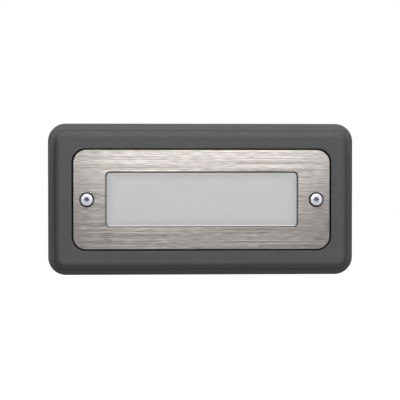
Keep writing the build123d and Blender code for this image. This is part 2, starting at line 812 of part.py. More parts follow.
with BuildPart() as gear_tray:
    with BuildSketch(Plane.XZ.offset(tray_back)):
        RectangleRounded(tray_width, tray_height, opening_corner)
    extrude(amount=tray_thickness)
    # edges turned back along the top and bottom
    with BuildSketch(Plane.XZ.offset(tray_back)):
        for side in (-1, 1):
            with Locations((0, side * (tray_height - tray_rib_thickness) / 2)):
                Rectangle(tray_rib_length, tray_rib_thickness)
    extrude(amount=-tray_rib_depth)
    with BuildSketch(Plane.XZ.offset(tray_back)):
        with Locations(*corners(tray_screw_column, tray_screw_row)):
            Circle(tray_screw_radius + hole_clearance)
        with Locations(*corners(board_screw_column, board_screw_row)):
            Circle(board_screw_radius + hole_clearance)
        with Locations(*both_driver_feet):
            Circle(board_screw_radius + thread_clearance)
        with Locations((lead_column, grommet_row)):
            Circle(grommet_radius)
    extrude(amount=tray_thickness, mode=Mode.SUBTRACT)
gear_tray.part.label = "gear_tray"
export_step(gear_tray.part, "parts/gear_tray.step")

tray_screws = draw_screws(
    corners(tray_screw_column, tray_screw_row),
    tray_level,
    1,
    tray_screw_radius,
    tray_screw_length,
    tray_screw_head,
    tray_screw_head_height,
)
tray_screws.part.label = "tray_screws"
export_step(tray_screws.part, "parts/tray_screws.step")

with BuildPart() as thermal_pad:
    with BuildSketch(Plane.XZ.offset(tray_level)):
        RectangleRounded(board_width, board_height, stud_radius)
        with Locations(*corners(board_screw_column, board_screw_row)):
            Circle(board_screw_radius + hole_clearance, mode=Mode.SUBTRACT)
    extrude(amount=pad_thickness)
thermal_pad.part.label = "thermal_pad"
export_step(thermal_pad.part, "parts/thermal_pad.step")

with BuildPart() as led_board:
    with BuildSketch(Plane.XZ.offset(board_back)):
        RectangleRounded(board_width, board_height, stud_radius)
        with Locations(*corners(board_screw_column, board_screw_row)):
            Circle(board_screw_radius + hole_clearance, mode=Mode.SUBTRACT)
    extrude(amount=board_thickness)
led_board.part.label = "led_board"
export_step(led_board.part, "parts/led_board.step")

with BuildPart() as leds:
    with BuildSketch(Plane.XZ.offset(board_level)):
        with GridLocations(led_pitch, led_row_pitch, led_columns, led_rows):
            Rectangle(led_size, led_size)
    extrude(amount=led_thickness)
    with BuildSketch(Plane.XZ.offset(board_level + led_thickness)):
        with GridLocations(led_pitch, led_row_pitch, led_columns, led_rows):
            Circle(led_window_radius)
    extrude(amount=led_window_thickness)
leds.part.label = "leds"
export_step(leds.part, "parts/leds.step")

with BuildPart() as reflector:
    with BuildSketch(Plane.XZ.offset(board_level)):
        RectangleRounded(reflector_foot_width, reflector_foot_height, stud_radius)
    extrude(amount=reflector_foot_thickness)
    with BuildSketch(Plane.XZ.offset(board_level)):
        with Locations(*corners(board_screw_column, board_screw_row)):
            Circle(reflector_boss_radius)
        # a web joins each boss to the flared wall
        with Locations(*corners((board_screw_column + reflector_web_end) / 2, board_screw_row)):
            Rectangle(board_screw_column - reflector_web_end, 2 * reflector_boss_radius)
    extrude(amount=reflector_boss_height)
    # flared walls, from the board to just behind the lens
    with BuildSketch(Plane.XZ.offset(board_level)):
        RectangleRounded(
            reflector_rear_width + 2 * reflector_wall,
            reflector_rear_height + 2 * reflector_wall,
            window_corner,
        )
    with BuildSketch(Plane.XZ.offset(reflector_level)):
        RectangleRounded(
            pocket_width + 2 * reflector_wall,
            pocket_height + 2 * reflector_wall,
            window_corner,
        )
    loft()
    with BuildSketch(Plane.XZ.offset(board_level)):
        RectangleRounded(reflector_rear_width, reflector_rear_height, lens_corner)
    with BuildSketch(Plane.XZ.offset(reflector_level)):
        RectangleRounded(pocket_width, pocket_height, lens_corner)
    loft(mode=Mode.SUBTRACT)
    with BuildSketch(Plane.XZ.offset(board_level)):
        with Locations(*corners(board_screw_column, board_screw_row)):
            Circle(board_screw_radius + thread_clearance)
    extrude(amount=reflector_boss_height - reflector_wall, mode=Mode.SUBTRACT)
reflector.part.label = "reflector"
export_step(reflector.part, "parts/reflector.step")

board_screws = draw_screws(
    corners(board_screw_column, board_screw_row),
    tray_back,
    -1,
    board_screw_radius,
    board_level - tray_back + board_screw_grip - reflector_wall,
    board_screw_head,
    board_screw_head_height,
)
board_screws.part.label = "board_screws"
export_step(board_screws.part, "parts/board_screws.step")

with BuildPart() as board_connector:
    with BuildSketch(Plane.XZ.offset(board_level)):
        with Locations((lead_column, connector_row)):
            Rectangle(connector_width, connector_height)
    extrude(amount=connector_thickness)
    with BuildSketch(Plane.XZ.offset(connector_level)):
        with Locations(*[(lead_column + side * lead_pitch / 2, connector_row) for side in (-1, 1)]):
            Rectangle(connector_key_width, connector_key_height)
    extrude(amount=-connector_key_depth, mode=Mode.SUBTRACT)
board_connector.part.label = "board_connector"
export_step(board_connector.part, "parts/board_connector.step")

with BuildPart() as tray_grommet:
    with BuildSketch(Plane.XZ.offset(tray_back)):
        with Locations((lead_column, grommet_row)):
            Circle(grommet_radius - seat_clearance)
    extrude(amount=tray_thickness)
    with BuildSketch(Plane.XZ.offset(tray_level)):
        with Locations((lead_column, grommet_row)):
            Circle(grommet_radius + grommet_rim)
    extrude(amount=grommet_rim_thickness)
    with BuildSketch(Plane.XZ.offset(tray_back)):
        with Locations((lead_column, grommet_row)):
            Circle(grommet_radius + grommet_rim)
    extrude(amount=-grommet_rim_thickness)
    with BuildSketch(Plane.XZ.offset(tray_level + grommet_rim_thickness)):
        with Locations((lead_column, grommet_row)):
            Circle(grommet_bore)
    extrude(amount=-(tray_thickness + 2 * grommet_rim_thickness), mode=Mode.SUBTRACT)
tray_grommet.part.label = "tray_grommet"
export_step(tray_grommet.part, "parts/tray_grommet.step")

# ---------------------------------------------------------------- driver

with BuildPart() as driver_case:
    with BuildSketch(Plane.XZ.offset(driver_back)):
        RectangleRounded(driver_width, driver_height, driver_wall)
    extrude(amount=driver_depth)
    with BuildSketch(Plane.XZ.offset(tray_back)):
        for side in (-1, 1):
            with Locations((side * (driver_foot_column - driver_wall / 2), 0)):
                Rectangle(driver_foot_length + driver_wall, driver_foot_height)
    extrude(amount=-driver_foot_thickness)
    with BuildSketch(Plane.XZ.offset(driver_back)):
        Rectangle(driver_width - 2 * driver_wall, driver_height - 2 * driver_wall)
    extrude(amount=driver_depth - driver_wall, mode=Mode.SUBTRACT)
    with BuildSketch(Plane.XZ.offset(tray_back)):
        with Locations(*both_driver_feet):
            Circle(board_screw_radius + hole_clearance)
    extrude(amount=-driver_foot_thickness, mode=Mode.SUBTRACT)
driver_case.part.label = "driver_case"
export_step(driver_case.part, "parts/driver_case.step")

with BuildPart() as driver_lid:
    with BuildSketch(Plane.XZ.offset(driver_back)):
        RectangleRounded(driver_width, driver_height, driver_wall)
    extrude(amount=-driver_wall)
    with BuildSketch(Plane.XZ.offset(driver_back)):
        Rectangle(driver_inner_width, driver_inner_height)
        Rectangle(lid_inner_width, lid_inner_height, mode=Mode.SUBTRACT)
    extrude(amount=driver_board_set_in)
driver_lid.part.label = "driver_lid"
export_step(driver_lid.part, "parts/driver_lid.step")

with BuildPart() as driver_circuit_board:
    with BuildSketch(Plane.XZ.offset(driver_board_level)):
        Rectangle(driver_inner_width, driver_inner_height)
    extrude(amount=driver_board_thickness)
driver_circuit_board.part.label = "driver_circuit_board"
export_step(driver_circuit_board.part, "parts/driver_circuit_board.step")

with BuildPart() as driver_transformer:
    with BuildSketch(Plane.XZ.offset(driver_board_level + driver_board_thickness)):
        with Locations((transformer_column, 0)):
            Rectangle(transformer_width, transformer_height)
    extrude(amount=transformer_depth)
    fillet(driver_transformer.edges().filter_by(Axis.Y), component_edge)
driver_transformer.part.label = "driver_transformer"
export_step(driver_transformer.part, "parts/driver_transformer.step")

with BuildPart() as driver_capacitors:
    with BuildSketch(Plane.XZ.offset(driver_board_level + driver_board_thickness)):
        with Locations(*[(x, 0) for x in capacitor_columns]):
            Circle(capacitor_radius)
    extrude(amount=capacitor_length)
    fillet(driver_capacitors.faces().group_by(Axis.Y)[0].edges(), component_edge)
driver_capacitors.part.label = "driver_capacitors"
export_step(driver_capacitors.part, "parts/driver_capacitors.step")

driver_screws = draw_screws(
    both_driver_feet,
    tray_back - driver_foot_thickness,
    -1,
    board_screw_radius,
    driver_foot_thickness + tray_thickness,
    board_screw_head,
    board_screw_head_height,
)
driver_screws.part.label = "driver_screws"
export_step(driver_screws.part, "parts/driver_screws.step")

# ---------------------------------------------------------------- terminals and earth

with BuildPart() as terminal_block:
    with BuildSketch(Plane.XZ.offset(terminal_back)):
        RectangleRounded(terminal_width, terminal_height, terminal_block_edge)
    extrude(amount=terminal_depth)
    chamfer(terminal_block.faces().sort_by(Axis.Y)[0].edges(), terminal_block_edge)
    # a channel for each clamp, with wells for its two screws
    with BuildSketch(Plane.XY.offset(-terminal_height / 2)):
        with Locations(*[(x, -clamp_level) for x in pole_columns]):
            Rectangle(clamp_size + 2 * seat_clearance, clamp_size + 2 * seat_clearance)
    extrude(amount=terminal_height, mode=Mode.SUBTRACT)
    with BuildSketch(Plane.XZ.offset(terminal_level)):
        with Locations(*clamp_screw_places):
            Circle(clamp_screw_head + hole_clearance)
    extrude(amount=clamp_level - terminal_level, mode=Mode.SUBTRACT)
    with BuildSketch(Plane.XZ.offset(terminal_level)):
        with Locations(*[(x, 0) for x in terminal_screw_columns]):
            Circle(terminal_screw_radius + hole_clearance)
    extrude(amount=-terminal_depth, mode=Mode.SUBTRACT)
terminal_block.part.label = "terminal_block"
export_step(terminal_block.part, "parts/terminal_block.step")

with BuildPart() as terminal_clamps:
    with BuildSketch(Plane.XY.offset(-clamp_length / 2)):
        with Locations(*[(x, -clamp_level) for x in pole_columns]):
            Rectangle(clamp_size, clamp_size)
            Circle(clamp_bore, mode=Mode.SUBTRACT)
    extrude(amount=clamp_length)
    with BuildSketch(Plane.XZ.offset(clamp_top)):
        with Locations(*clamp_screw_places):
            Circle(clamp_screw_radius + thread_clearance)
    extrude(amount=-clamp_size / 2, mode=Mode.SUBTRACT)
terminal_clamps.part.label = "terminal_clamps"
export_step(terminal_clamps.part, "parts/terminal_clamps.step")

with BuildPart() as terminal_screws:
    with BuildSketch(Plane.XZ.offset(clamp_screw_seat)):
        with Locations(*clamp_screw_places):
            Circle(clamp_screw_head)
    extrude(amount=clamp_screw_head_height)
    with BuildSketch(Plane.XZ.offset(clamp_screw_seat)):
        with Locations(*clamp_screw_places):
            Circle(clamp_screw_radius)
    extrude(amount=-clamp_size / 2)
    with BuildSketch(Plane.XZ.offset(clamp_screw_seat + clamp_screw_head_height)):
        with Locations(*clamp_screw_places):
            Rectangle(2 * clamp_screw_head, clamp_screw_slot)
    extrude(amount=-clamp_screw_head_height / 2, mode=Mode.SUBTRACT)
terminal_screws.part.label = "terminal_screws"
export_step(terminal_screws.part, "parts/terminal_screws.step")

terminal_fixing_screws = draw_screws(
    [(x, 0) for x in terminal_screw_columns],
    terminal_level,
    1,
    terminal_screw_radius,
    terminal_depth + terminal_pad_thickness - hole_clearance,
    terminal_screw_head,
    terminal_screw_head_height,
)
terminal_fixing_screws.part.label = "terminal_fixing_screws"
export_step(terminal_fixing_screws.part, "parts/terminal_fixing_screws.step")

with BuildPart() as earth_ring:
    with BuildSketch(Plane.XZ.offset(earth_level)):
        with Locations((earth_column, earth_row)):
            Circle(earth_ring_radius)
        with Locations((earth_column - earth_ring_radius, earth_row)):
            Rectangle(earth_ring_radius, 2 * earth_barrel_radius)
        with Locations((earth_column, earth_row)):
            Circle(earth_screw_radius + hole_clearance, mode=Mode.SUBTRACT)
    extrude(amount=earth_ring_thickness)
    # crimp barrel, along X
    with BuildSketch(Plane.YZ.offset(earth_barrel_end)):
        with Locations((-(earth_level + earth_barrel_radius), earth_row)):
            Circle(earth_barrel_radius)
    extrude(amount=earth_barrel_length)
earth_ring.part.label = "earth_ring"
export_step(earth_ring.part, "parts/earth_ring.step")

earth_screw = draw_screws(
    [(earth_column, earth_row)],
    earth_ring_level,
    1,
    earth_screw_radius,
    earth_boss_height + earth_ring_thickness - hole_clearance,
    earth_screw_head,
    earth_screw_head_height,
)
earth_screw.part.label = "earth_screw"
export_step(earth_screw.part, "parts/earth_screw.step")

# ---------------------------------------------------------------- internal wires


def draw_wire(points, radii, radius):
    """A round wire along straight runs joined by tangent arcs."""
    with BuildPart() as wire:
        with BuildLine() as route:
            FilletPolyline(*points, radius=radii)
        with BuildSketch(Plane(origin=route.line @ 0, z_dir=route.line % 0)):
            Circle(radius)
        sweep()
    return wire


clamp_depth = -clamp_level
lead_depth = -driver_lead_level
wire_start = terminal_height / 2
driver_end = driver_width / 2
lead_front_depth = -(board_level + connector_thickness / 2)
earth_depth = -(earth_level + earth_barrel_radius)

line_wire = draw_wire(
    [
        (pole_columns[0], clamp_depth, wire_start),
        (pole_columns[0], clamp_depth, wire_start + line_wire_rise),
        (-driver_end - line_wire_reach, clamp_depth - mains_wire_slant, wire_start + line_wire_rise),
        (-driver_end - line_wire_reach, lead_depth, -mains_lead_row),
        (-driver_end, lead_depth, -mains_lead_row),
    ],
    line_wire_bends,
    wire_radius,
)
line_wire.part.label = "line_wire"
export_step(line_wire.part, "parts/line_wire.step")

neutral_wire = draw_wire(
    [
        (pole_columns[1], clamp_depth, wire_start),
        (pole_columns[1], clamp_depth, wire_start + neutral_wire_rise),
        (-driver_end - neutral_wire_reach, clamp_depth - mains_wire_slant, wire_start + neutral_wire_rise),
        (-driver_end - neutral_wire_reach, lead_depth, mains_lead_row),
        (-driver_end, lead_depth, mains_lead_row),
    ],
    neutral_wire_bends,
    wire_radius,
)
neutral_wire.part.label = "neutral_wire"
export_step(neutral_wire.part, "parts/neutral_wire.step")

earth_wire = draw_wire(
    [
        (pole_columns[2], clamp_depth, wire_start),
        (pole_columns[2], clamp_depth, earth_row),
        (earth_barrel_end - earth_wire_straight, earth_depth, earth_row),
        (earth_barrel_end, earth_depth, earth_row),
    ],
    earth_wire_bends,
    wire_radius,
)
earth_wire.part.label = "earth_wire"
export_step(earth_wire.part, "parts/earth_wire.step")


def draw_lead(offset, driver_row):
    """One lead from the driver's end, forward through the grommet and down to the board's connector."""
    column = lead_column + offset
    return draw_wire(
        [
            (driver_end, lead_depth, driver_row),
            (column, lead_depth, driver_row),
            (column, lead_depth, grommet_row),
            (column, lead_front_depth, grommet_row),
            (column, lead_front_depth, board_height / 2),
        ],
        lead_bends,
        lead_radius,
    )


led_positive_wire = draw_lead(lead_pitch / 2, led_lead_row)
led_positive_wire.part.label = "led_positive_wire"
export_step(led_positive_wire.part, "parts/led_positive_wire.step")

led_negative_wire = draw_lead(-lead_pitch / 2, led_lead_row + led_lead_row_gap)
led_negative_wire.part.label = "led_negative_wire"
export_step(led_negative_wire.part, "parts/led_negative_wire.step")

# ---------------------------------------------------------------- cable entries

with BuildPart() as entry_washers:
    with BuildSketch(Plane.XZ.offset(back_level)):
        with Locations(*both_entries):
            Circle(entry_washer_radius)
            Circle(entry_thread_radius + seat_clearance, mode=Mode.SUBTRACT)
    extrude(amount=-entry_washer_thickness)
entry_washers.part.label = "entry_washers"
export_step(entry_washers.part, "parts/entry_washers.step")

with BuildPart() as entry_locknuts:
    with BuildSketch(Plane.XZ.offset(floor_level)):
        with Locations(*both_entries):
            RegularPolygon(entry_across / 2, 6, major_radius=False)
            Circle(entry_thread_radius + thread_clearance, mode=Mode.SUBTRACT)
    extrude(amount=locknut_thickness)
entry_locknuts.part.label = "entry_locknuts"
export_step(entry_locknuts.part, "parts/entry_locknuts.step")

with BuildPart() as gland_body:
    with BuildSketch(Plane.XZ.offset(entry_washer_level)):
        with Locations((-entry_column, 0)):
            RegularPolygon(entry_across / 2, 6, major_radius=False)
    extrude(amount=-gland_hex_thickness)
    with BuildSketch(Plane.XZ.offset(entry_inner_level)):
        with Locations((-entry_column, 0)):
            Circle(entry_thread_radius)
    extrude(amount=entry_washer_level - entry_inner_level)
    with BuildSketch(Plane.XZ.offset(gland_hex_level)):
        with Locations((-entry_column, 0)):
            Circle(gland_neck_radius)
    extrude(amount=-gland_neck_length)
    with BuildSketch(Plane.XZ.offset(entry_inner_level)):
        with Locations((-entry_column, 0)):
            Circle(gland_bore)
    extrude(amount=gland_end - entry_inner_level, mode=Mode.SUBTRACT)
    with BuildSketch(Plane.XZ.offset(gland_end)):
        with Locations((-entry_column, 0)):
            Circle(gland_seat_radius + seat_clearance)
    extrude(amount=seal_level - gland_end, mode=Mode.SUBTRACT)
gland_body.part.label = "gland_body"
export_step(gland_body.part, "parts/gland_body.step")

with BuildPart() as gland_seal:
    with BuildSketch(Plane.XZ.offset(seal_level)):
        with Locations((-entry_column, 0)):
            Circle(gland_seat_radius)
            Circle(gland_cable_radius, mode=Mode.SUBTRACT)
    extrude(amount=-gland_seal_length)
gland_seal.part.label = "gland_seal"
export_step(gland_seal.part, "parts/gland_seal.step")

with BuildPart() as gland_nut:
    with BuildSketch(Plane.XZ.offset(gland_nut_level)):
        with Locations((-entry_column, 0)):
            RegularPolygon(entry_across / 2, 6, major_radius=False)
    extrude(amount=-gland_nut_length)
    chamfer(gland_nut.faces().sort_by(Axis.Y)[-1].edges(), gland_nut_edge)
    with BuildSketch(Plane.XZ.offset(gland_nut_level)):
        with Locations((-entry_column, 0)):
            Circle(gland_neck_radius + running_clearance)
    extrude(amount=-(gland_nut_length - gland_nut_wall), mode=Mode.SUBTRACT)
    with BuildSketch(Plane.XZ.offset(gland_nut_level)):
        with Locations((-entry_column, 0)):
            Circle(gland_bore)
    extrude(amount=-gland_nut_length, mode=Mode.SUBTRACT)
gland_nut.part.label = "gland_nut"
export_step(gland_nut.part, "parts/gland_nut.step")

with BuildPart() as blanking_plug:
    with BuildSketch(Plane.XZ.offset(entry_washer_level)):
        with Locations((entry_column, 0)):
            RegularPolygon(entry_across / 2, 6, major_radius=False)
    extrude(amount=-plug_head_thickness)
    chamfer(blanking_plug.faces().sort_by(Axis.Y)[-1].edges(), plug_edge)
    with BuildSketch(Plane.XZ.offset(entry_washer_level - plug_head_thickness)):
        with Locations((entry_column, 0)):
            Rectangle(plug_slot_length, plug_slot_width)
    extrude(amount=plug_slot_depth, mode=Mode.SUBTRACT)
    with BuildSketch(Plane.XZ.offset(entry_inner_level)):
        with Locations((entry_column, 0)):
            Circle(entry_thread_radius)
    extrude(amount=entry_washer_level - entry_inner_level)
    with BuildSketch(Plane.XZ.offset(entry_inner_level)):
        with Locations((entry_column, 0)):
            Circle(entry_thread_radius - plug_wall)
    extrude(amount=-(entry_inner_reach + housing_wall), mode=Mode.SUBTRACT)
blanking_plug.part.label = "blanking_plug"
export_step(blanking_plug.part, "parts/blanking_plug.step")
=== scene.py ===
"""The step light's looks: its finishes, the pieces modelled one by one, the studio and the camera. Metres."""

import json
import math

import bpy
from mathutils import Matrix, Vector


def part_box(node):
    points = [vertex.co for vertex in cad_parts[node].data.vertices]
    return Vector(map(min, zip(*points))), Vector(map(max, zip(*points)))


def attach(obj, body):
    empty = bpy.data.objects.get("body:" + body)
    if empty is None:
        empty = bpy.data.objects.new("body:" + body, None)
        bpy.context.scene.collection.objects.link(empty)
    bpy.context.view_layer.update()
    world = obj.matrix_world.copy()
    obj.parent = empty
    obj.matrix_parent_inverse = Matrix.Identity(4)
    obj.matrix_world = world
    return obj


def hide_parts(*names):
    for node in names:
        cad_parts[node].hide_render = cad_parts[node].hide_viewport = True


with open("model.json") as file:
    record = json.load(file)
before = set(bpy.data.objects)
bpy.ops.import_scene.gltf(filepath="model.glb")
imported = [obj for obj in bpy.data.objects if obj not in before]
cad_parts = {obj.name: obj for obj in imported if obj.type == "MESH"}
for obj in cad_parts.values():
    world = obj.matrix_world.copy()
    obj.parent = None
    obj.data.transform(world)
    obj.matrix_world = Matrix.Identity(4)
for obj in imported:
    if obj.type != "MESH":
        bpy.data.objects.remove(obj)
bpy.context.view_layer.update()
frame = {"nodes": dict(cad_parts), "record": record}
nodes = frame["nodes"]
bpy.ops.object.select_all(action="DESELECT")

# ---------------------------------------------------------------- sizes

# read from the model
frame_low, frame_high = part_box("trim_frame")
plate_low, plate_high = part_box("faceplate")
_, lens_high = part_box("lens")
screw_low, screw_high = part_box("faceplate_screw_right")
screw_x = (screw_low.x + screw_high.x) / 2

# of shapes that no box gives: the screw holes' surroundings, the corners' radii, the margin from the frame's
# outline to its raised body, and the lower end of the lens in its window
screw_hole_reach = 0.006
plate_corner = 0.0095
frame_corner = 0.0134
body_margin = 0.0058
body_corner = frame_corner - body_margin
lens_face_low = -0.01995

# where most of a noise's values lie
noise_low, noise_high = 0.3, 0.7

# ---------------------------------------------------------------- node helpers


class Finish:
    """A material under construction: its node tree, its shader and its Object coordinates."""

    def __init__(self, name, color, roughness, metallic=0.0, specular=0.5):
        self.material = bpy.data.materials.new(name)
        self.material.use_nodes = True
        self.tree = self.material.node_tree
        self.shader = self.tree.nodes["Principled BSDF"]
        self.shader.inputs["Base Color"].default_value = (*color, 1.0)
        self.shader.inputs["Roughness"].default_value = roughness
        self.shader.inputs["Metallic"].default_value = metallic
        self.shader.inputs["Specular IOR Level"].default_value = specular
        self.coords = self.add("ShaderNodeTexCoord").outputs["Object"]

    def add(self, kind, **values):
        """A node of a kind; each value sets the property or the input socket of that name."""
        node = self.tree.nodes.new(kind)
        for name, value in values.items():
            if hasattr(node, name):
                setattr(node, name, value)
            else:
                node.inputs[name].default_value = value
        return node

    def link(self, output, node, name):
        """Links an output to a node's input of that name."""
        self.tree.links.new(output, node.inputs[name])

    def noise(self, scale, detail=2.0, location=(0, 0, 0), coords=None):
        """Noise from 0 to 1, with its own repeats to the metre along each axis."""
        mapping = self.add("ShaderNodeMapping", Scale=scale, Location=location)
        self.link(coords or self.coords, mapping, "Vector")
        noise = self.add("ShaderNodeTexNoise", Scale=1.0, Detail=detail, Roughness=0.5)
        self.link(mapping.outputs["Vector"], noise, "Vector")
        return noise.outputs["Fac"]

    def drifting(self, scale, amount):
        """Object coordinates that wander up and down along Z by an amount in metres."""
        swing = self.math("MULTIPLY", self.math("SUBTRACT", self.noise(scale, detail=1.0), 0.5), amount)
        shift = self.add("ShaderNodeCombineXYZ")
        self.link(swing, shift, "Z")
        moved = self.add("ShaderNodeVectorMath", operation="ADD")
        self.tree.links.new(self.coords, moved.inputs[0])
        self.tree.links.new(shift.outputs["Vector"], moved.inputs[1])
        return moved.outputs["Vector"]

    def parted(self, vector):
        """The X, Y and Z of a vector."""
        parts = self.add("ShaderNodeSeparateXYZ")
        self.link(vector, parts, "Vector")
        return parts.outputs["X"], parts.outputs["Y"], parts.outputs["Z"]

    def math(self, operation, first, second=None):
        """Arithmetic on two outputs or numbers."""
        node = self.add("ShaderNodeMath", operation=operation)
        for socket, value in zip(node.inputs, (first, second)):
            if value is None:
                continue
            if isinstance(value, (int, float)):
                socket.default_value = value
            else:
                self.tree.links.new(value, socket)
        return node.outputs["Value"]

    def unsigned(self, value):
        """A value without its sign."""
        return self.math("ABSOLUTE", value)

    def beyond(self, half_x, half_z, corner):
        """How far a point is outside an upright rounded rectangle about the origin, in metres."""
        x, _, z = self.parted(self.coords)
        squares = []
        for value, half in ((x, half_x), (z, half_z)):
            past = self.math("SUBTRACT", self.unsigned(value), half - corner)
            past = self.math("MAXIMUM", past, 0.0)
            squares.append(self.math("MULTIPLY", past, past))
        away = self.math("SQRT", self.math("ADD", *squares))
        return self.math("SUBTRACT", away, corner)

    def ramp(self, value, low, high, low_at, high_at):
        """A value spread from one level, at one place, to another level at another place."""
        spread = self.add("ShaderNodeMapRange")
        spread.inputs["From Min"].default_value = low_at
        spread.inputs["From Max"].default_value = high_at
        spread.inputs["To Min"].default_value = low
        spread.inputs["To Max"].default_value = high
        self.link(value, spread, "Value")
        return spread.outputs["Result"]

    def colors(self, value, stops):
        """A value turned into a colour, through stops of (place, colour)."""
        ramp = self.add("ShaderNodeValToRGB")
        elements = ramp.color_ramp.elements
        while len(elements) < len(stops):
            elements.new(0.5)
        for element, (place, color) in zip(elements, stops):
            element.position = place
            element.color = (*color, 1.0)
        self.link(value, ramp, "Fac")
        return ramp.outputs["Color"]

    def mixed(self, share, first, second):
        """Two colours mixed by a share, 0 for the first and 1 for the second."""
        first_color, second_color, mixed_color = 6, 7, 2  # the node's sockets for colours
        mix = self.add("ShaderNodeMix", data_type="RGBA")
        self.link(share, mix, "Factor")
        for socket, color in ((mix.inputs[first_color], first), (mix.inputs[second_color], second)):
            if isinstance(color, tuple):
                socket.default_value = (*color, 1.0)
            else:
                self.tree.links.new(color, socket)
        return mix.outputs[mixed_color]

    def mottled(self, color, repeats, share):
        """A colour that is lighter and darker by a share in soft clouds."""
        cloud = self.noise((repeats, repeats, repeats), detail=3.0)
        stops = [(noise_low, shade(color, 1 - share)), (noise_high, shade(color, 1 + share))]
        return self.colors(cloud, stops)

    def base(self, color):
        """Takes the shader's colour from an output."""
        self.link(color, self.shader, "Base Color")

    def rough(self, value):
        """Takes the shader's roughness from an output."""
        self.link(value, self.shader, "Roughness")

    def bump(self, height, strength, distance):
        """Relief from a height, its distance in metres."""
        bump = self.add("ShaderNodeBump", Strength=strength, Distance=distance)
        self.link(height, bump, "Height")
        self.link(bump.outputs["Normal"], self.shader, "Normal")

    def grained(self, grain, smoothest, roughest, relief, depth):
        """Roughness and relief from one grain."""
        self.rough(self.ramp(grain, smoothest, roughest, low_at=noise_low, high_at=noise_high))
        self.bump(grain, relief, depth)


def shade(color, factor):
    """A colour made lighter or darker."""
    return tuple(min(1.0, part * factor) for part in color)


def dress(name, material):
    """Gives a carried-over node its finish in place of its own material."""
    mesh = nodes[name].data
    mesh.materials.clear()
    mesh.materials.append(material)


# ---------------------------------------------------------------- finishes


def powder_coat():
    """Dark grey satin coating with an orange peel, with painted shade at the foot of its raised body and
    near-black painted shade beside the plate.
    """
    color = (0.0875, 0.0875, 0.0875)
    crease_shade_color = shade(color, 0.52)
    gap_shade_color = (0.004, 0.004, 0.004)
    coat = Finish("frame_coating", color, roughness=0.6, specular=0.03)
    tone = coat.mottled(color, repeats=60, share=0.04)

    # painted shade: a soft shadow on the body's rounded lip, and a dark line at its foot that fades out on
    # the flange
    past_body = coat.beyond(frame_high.x - body_margin, frame_high.z - body_margin, body_corner)
    lip = coat.ramp(past_body, 0.0, 0.5, low_at=-0.0036, high_at=0.0)
    line = coat.ramp(past_body, 0.0, 0.85, low_at=-0.0006, high_at=0.0001)
    fading = coat.ramp(past_body, 1.0, 0.0, low_at=0.0004, high_at=0.0012)
    crease_shade = coat.math("MULTIPLY", coat.math("MAXIMUM", lip, line), fading)
    tone = coat.mixed(crease_shade, tone, crease_shade_color)

    # painted shade, near black, on the recess's wall and on the floor beside the plate
    gap_inner, gap_outer, gap_rim = -0.0006, 0.0011, plate_low.y + 0.0001
    past_plate = coat.beyond(plate_high.x, plate_high.z, plate_corner)
    gap_shade = coat.math(
        "MULTIPLY",
        coat.math("GREATER_THAN", past_plate, gap_inner),
        coat.math("LESS_THAN", past_plate, gap_outer),
    )
    _, y, _ = coat.parted(coat.coords)
    gap_shade = coat.math("MULTIPLY", gap_shade, coat.math("GREATER_THAN", y, gap_rim))
    coat.base(coat.mixed(gap_shade, tone, gap_shade_color))

    peel = coat.noise((1400, 1400, 1400))
    coat.grained(peel, 0.55, 0.65, relief=0.1, depth=0.0001)
    return coat.material


def brushed_steel():
    """Stainless steel brushed along X in fine wandering lines; its cut edges carry dark painted shade, with a
    painted highlight where they face up.
    """
    middle = (0.47, 0.441, 0.419)
    steel = Finish("faceplate_steel", middle, roughness=0.30, metallic=1.0)
    steel.shader.inputs["Anisotropic"].default_value = 0.75
    tangent = steel.add("ShaderNodeTangent", direction_type="RADIAL", axis="X")
    steel.link(tangent.outputs["Tangent"], steel.shader, "Tangent")

    long_share = 0.6
    wandering = steel.drifting((25, 1, 20), 0.0006)
    long_lines = steel.noise((10, 1, 2100), detail=0.0, location=(3, 0, 7), coords=wandering)
    short_lines = steel.noise((120, 1, 1900), detail=0.0, coords=wandering)
    lines = steel.math(
        "ADD",
        steel.math("MULTIPLY", short_lines, 1 - long_share),
        steel.math("MULTIPLY", long_lines, long_share),
    )
    brushed = steel.colors(lines, [(0.38, shade(middle, 0.72)), (0.5, middle), (0.62, shade(middle, 1.34))])
    line_rough = steel.ramp(lines, 0.275, 0.325, low_at=0.35, high_at=0.65)

    # painted light on the cut edges: a painted highlight where they face up, dark painted shade on the other
    # sides, and near-black painted shade in the screw holes
    cut_shade_color, cut_highlight_color, hole_shade_color = (0.15, 0.143, 0.138), (0.45, 0.43, 0.41), (0.02, 0.02, 0.02)
    cut_rough = 0.5
    flat_facing, top_facing = 0.9, 0.95
    _, facing, upward = steel.parted(steel.add("ShaderNodeNewGeometry").outputs["True Normal"])
    cut = steel.math("LESS_THAN", steel.unsigned(facing), flat_facing)
    edge = steel.mixed(steel.math("GREATER_THAN", upward, top_facing), cut_shade_color, cut_highlight_color)
    x, _, z = steel.parted(steel.coords)
    beside_screw = steel.unsigned(steel.math("SUBTRACT", steel.unsigned(x), screw_x))
    from_screw = steel.math("MAXIMUM", beside_screw, steel.unsigned(z))
    edge = steel.mixed(steel.math("LESS_THAN", from_screw, screw_hole_reach), edge, hole_shade_color)

    steel.base(steel.mixed(cut, brushed, edge))
    steel.rough(steel.math("MAXIMUM", line_rough, steel.math("MULTIPLY", cut, cut_rough)))
    steel.bump(lines, 0.02, 0.0001)
    return steel.material


